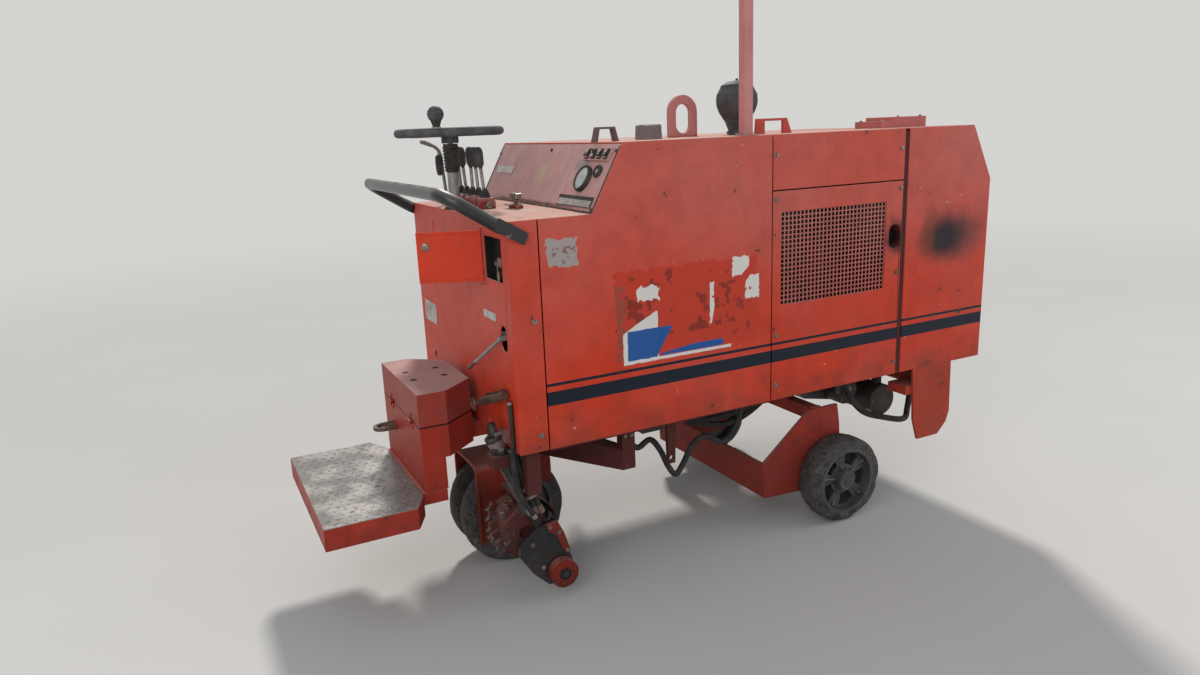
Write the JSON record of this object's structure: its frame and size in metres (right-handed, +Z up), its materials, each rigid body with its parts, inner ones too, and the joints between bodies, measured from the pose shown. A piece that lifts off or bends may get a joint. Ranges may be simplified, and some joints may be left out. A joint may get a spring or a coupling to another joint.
{
  "type": "cold planer milling machine",
  "caption": "Compact ride-on cold planer on wheels, with a milling drum at the rear right, a steered twin rear wheel and an operator's step",
  "frame": {"origin": "on the ground, midway between the step's rear edge and the front face, on the centreline", "axes": "+X forward, +Y to the machine's left, +Z up"},
  "size_m": [2.7, 1.036, 2.213],
  "materials": {
    "red_paint": "faded and rusting",
    "dark_red_paint": "dirty",
    "black_paint": "worn matte",
    "bare_casting": "rusty",
    "worn_steel": "greasy",
    "amber_lens": "gloss",
    "black_plastic": "dusty",
    "hose_rubber": "matte",
    "solid_tyre": "worn, dusty"
  },
  "bodies": {
    "chassis": {"floor_frame": "dark_red_paint", "rear_shell": "red_paint", "instrument_panel": "red_paint", "side_panel_right": "red_paint", "side_panel_left": "red_paint", "hood_top": "red_paint", "grille_panel_right": "red_paint", "grille_panel_left": "red_paint", "grille_screens": "red_paint", "front_cowl": "red_paint", "front_grille": "black_paint", "front_skirts": "red_paint", "engine_block": "bare_casting", "radiator_core": "black_paint", "engine_sump": "black_paint", "front_frame": "red_paint", "rear_frame": "dark_red_paint", "seat_box": "red_paint", "tow_eye": "dark_red_paint", "step": "red_paint", "drum_hood": "dark_red_paint", "leg_tube": "dark_red_paint", "hand_rail": "black_paint", "control_levers": "black_paint", "steering_column": "black_paint", "lifting_eye": "red_paint", "mast": "red_paint", "beacon": "amber_lens", "hood_fittings": "red_paint", "hoses": "hose_rubber", "rear_pipes": "worn_steel"},
    "engine_lid": {"hood_lid": "red_paint", "pre_cleaner": "black_plastic"},
    "seat_lid": {"box_lid": "red_paint"},
    "switch_door": {"key_door": "red_paint"},
    "hand_wheel": {"steering_wheel": "black_plastic"},
    "steer_fork": {"rear_fork": "red_paint", "drive_motor": "black_paint"},
    "rear_wheel": {"rear_tyres": "solid_tyre", "rear_rims": "bare_casting"},
    "front_wheel_right": {"front_tyre_right": "solid_tyre", "front_rim_right": "bare_casting"},
    "front_wheel_left": {"front_tyre_left": "solid_tyre", "front_rim_left": "bare_casting"},
    "drum": {"milling_drum": "bare_casting"},
    "leg": {"leg_foot": "worn_steel"},
    "roller": {"guide_roller": "red_paint"}
  },
  "joints": [
    {"name": "rear_steering", "type": "hinge", "parent": "chassis", "child": "steer_fork", "pos_m": [-0.63, 0, 0.45], "axis": [0, 0, 1], "range_deg": [-20, 20]},
    {"name": "rear_wheel_roll", "type": "hinge", "parent": "steer_fork", "child": "rear_wheel", "pos_m": [-0.63, 0, 0.2], "axis": [0, 1, 0], "continuous": true},
    {"name": "front_wheel_right_roll", "type": "hinge", "parent": "chassis", "child": "front_wheel_right", "pos_m": [0.636, -0.454, 0.175], "axis": [0, 1, 0], "continuous": true},
    {"name": "front_wheel_left_roll", "type": "hinge", "parent": "chassis", "child": "front_wheel_left", "pos_m": [0.636, 0.454, 0.175], "axis": [0, 1, 0], "continuous": true},
    {"name": "drum_spin", "type": "hinge", "parent": "chassis", "child": "drum", "pos_m": [-0.692, -0.283, 0.24], "axis": [0, 1, 0], "continuous": true},
    {"name": "steering_wheel_turn", "type": "hinge", "parent": "chassis", "child": "hand_wheel", "pos_m": [-0.716, 0.07, 1.592], "axis": [0, 0, 1], "range_deg": [-360, 360]},
    {"name": "engine_lid_hinge", "type": "hinge", "parent": "chassis", "child": "engine_lid", "pos_m": [0.558, 0.512, 1.349], "axis": [-1, 0, 0], "range_deg": [0, 70]},
    {"name": "seat_lid_hinge", "type": "hinge", "parent": "chassis", "child": "seat_lid", "pos_m": [-1.003, 0, 0.6455], "axis": [0, -1, 0], "range_deg": [0, 85]},
    {"name": "switch_door_hinge", "type": "hinge", "parent": "chassis", "child": "switch_door", "pos_m": [-0.757, -0.293, 1.2], "axis": [0, 0, 1], "range_deg": [0, 117]},
    {"name": "leg_slide", "type": "slide", "parent": "chassis", "child": "leg", "axis": [-0.3641, 0, 0.9314], "range_m": [0, 0.06]},
    {"name": "roller_spin", "type": "hinge", "parent": "leg", "child": "roller", "pos_m": [-0.592, -0.428, 0.098], "axis": [0, 1, 0], "continuous": true}
  ],
  "couplings": [
    {"joint": "steering_wheel_turn", "follows": "rear_steering", "ratio": -18}
  ]
}
